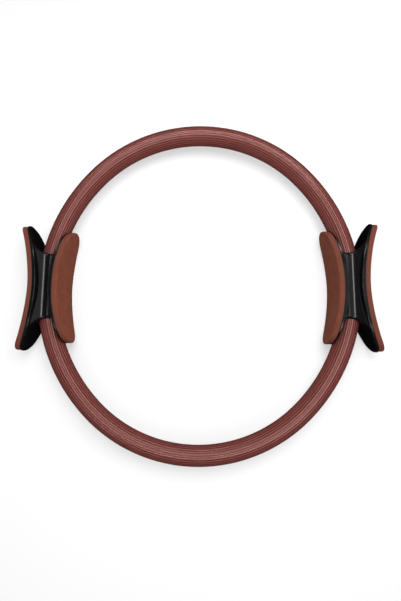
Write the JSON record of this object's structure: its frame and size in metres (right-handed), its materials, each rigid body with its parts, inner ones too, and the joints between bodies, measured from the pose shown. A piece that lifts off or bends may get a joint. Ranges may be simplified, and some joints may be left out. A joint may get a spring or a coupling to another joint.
{
  "type": "pilates ring",
  "caption": "Oval sprung exercise ring in a ribbed rubber sleeve, with a padded spool-shaped grip on each side that squeezes inwards and springs back.",
  "frame": {"origin": "middle of the hoop, halfway between the two grips and halfway through their width", "axes": "+Z along the hoop's axis, +X to the right-hand grip, +Y to the upper crown of the hoop"},
  "size_m": [0.3916, 0.3754, 0.047],
  "materials": {
    "sleeve_rubber": "satin",
    "rod_fibreglass": "satin",
    "grip_plastic": "satin",
    "pad_foam": "matte",
    "socket_nylon": "matte",
    "screw_steel": "satin"
  },
  "bodies": {
    "hoop": {"upper_sleeve": "sleeve_rubber", "upper_core_rod_top": "rod_fibreglass", "upper_core_rod_middle": "rod_fibreglass", "upper_core_rod_bottom": "rod_fibreglass", "lower_sleeve": "sleeve_rubber", "lower_core_rod_top": "rod_fibreglass", "lower_core_rod_middle": "rod_fibreglass", "lower_core_rod_bottom": "rod_fibreglass"},
    "left_grip": {"left_inner_shell": "grip_plastic", "left_outer_shell": "grip_plastic", "left_inner_pad": "pad_foam", "left_outer_pad": "pad_foam", "left_rod_socket": "socket_nylon", "left_shell_screws": "screw_steel"},
    "right_grip": {"right_inner_shell": "grip_plastic", "right_outer_shell": "grip_plastic", "right_inner_pad": "pad_foam", "right_outer_pad": "pad_foam", "right_rod_socket": "socket_nylon", "right_shell_screws": "screw_steel"}
  },
  "joints": [
    {"name": "right_squeeze", "type": "slide", "parent": "hoop", "child": "right_grip", "axis": [-1, 0, 0], "range_m": [-0.012, 0.03], "stiffness_N_per_m": 4500, "deforming": ["upper_sleeve", "upper_core_rod_top", "upper_core_rod_middle", "upper_core_rod_bottom", "lower_sleeve", "lower_core_rod_top", "lower_core_rod_middle", "lower_core_rod_bottom"]},
    {"name": "left_squeeze", "type": "slide", "parent": "hoop", "child": "left_grip", "axis": [1, 0, 0], "range_m": [-0.012, 0.03], "stiffness_N_per_m": 4500, "deforming": ["upper_sleeve", "upper_core_rod_top", "upper_core_rod_middle", "upper_core_rod_bottom", "lower_sleeve", "lower_core_rod_top", "lower_core_rod_middle", "lower_core_rod_bottom"]}
  ],
  "couplings": [
    {"joint": "left_squeeze", "follows": "right_squeeze", "ratio": 1}
  ]
}
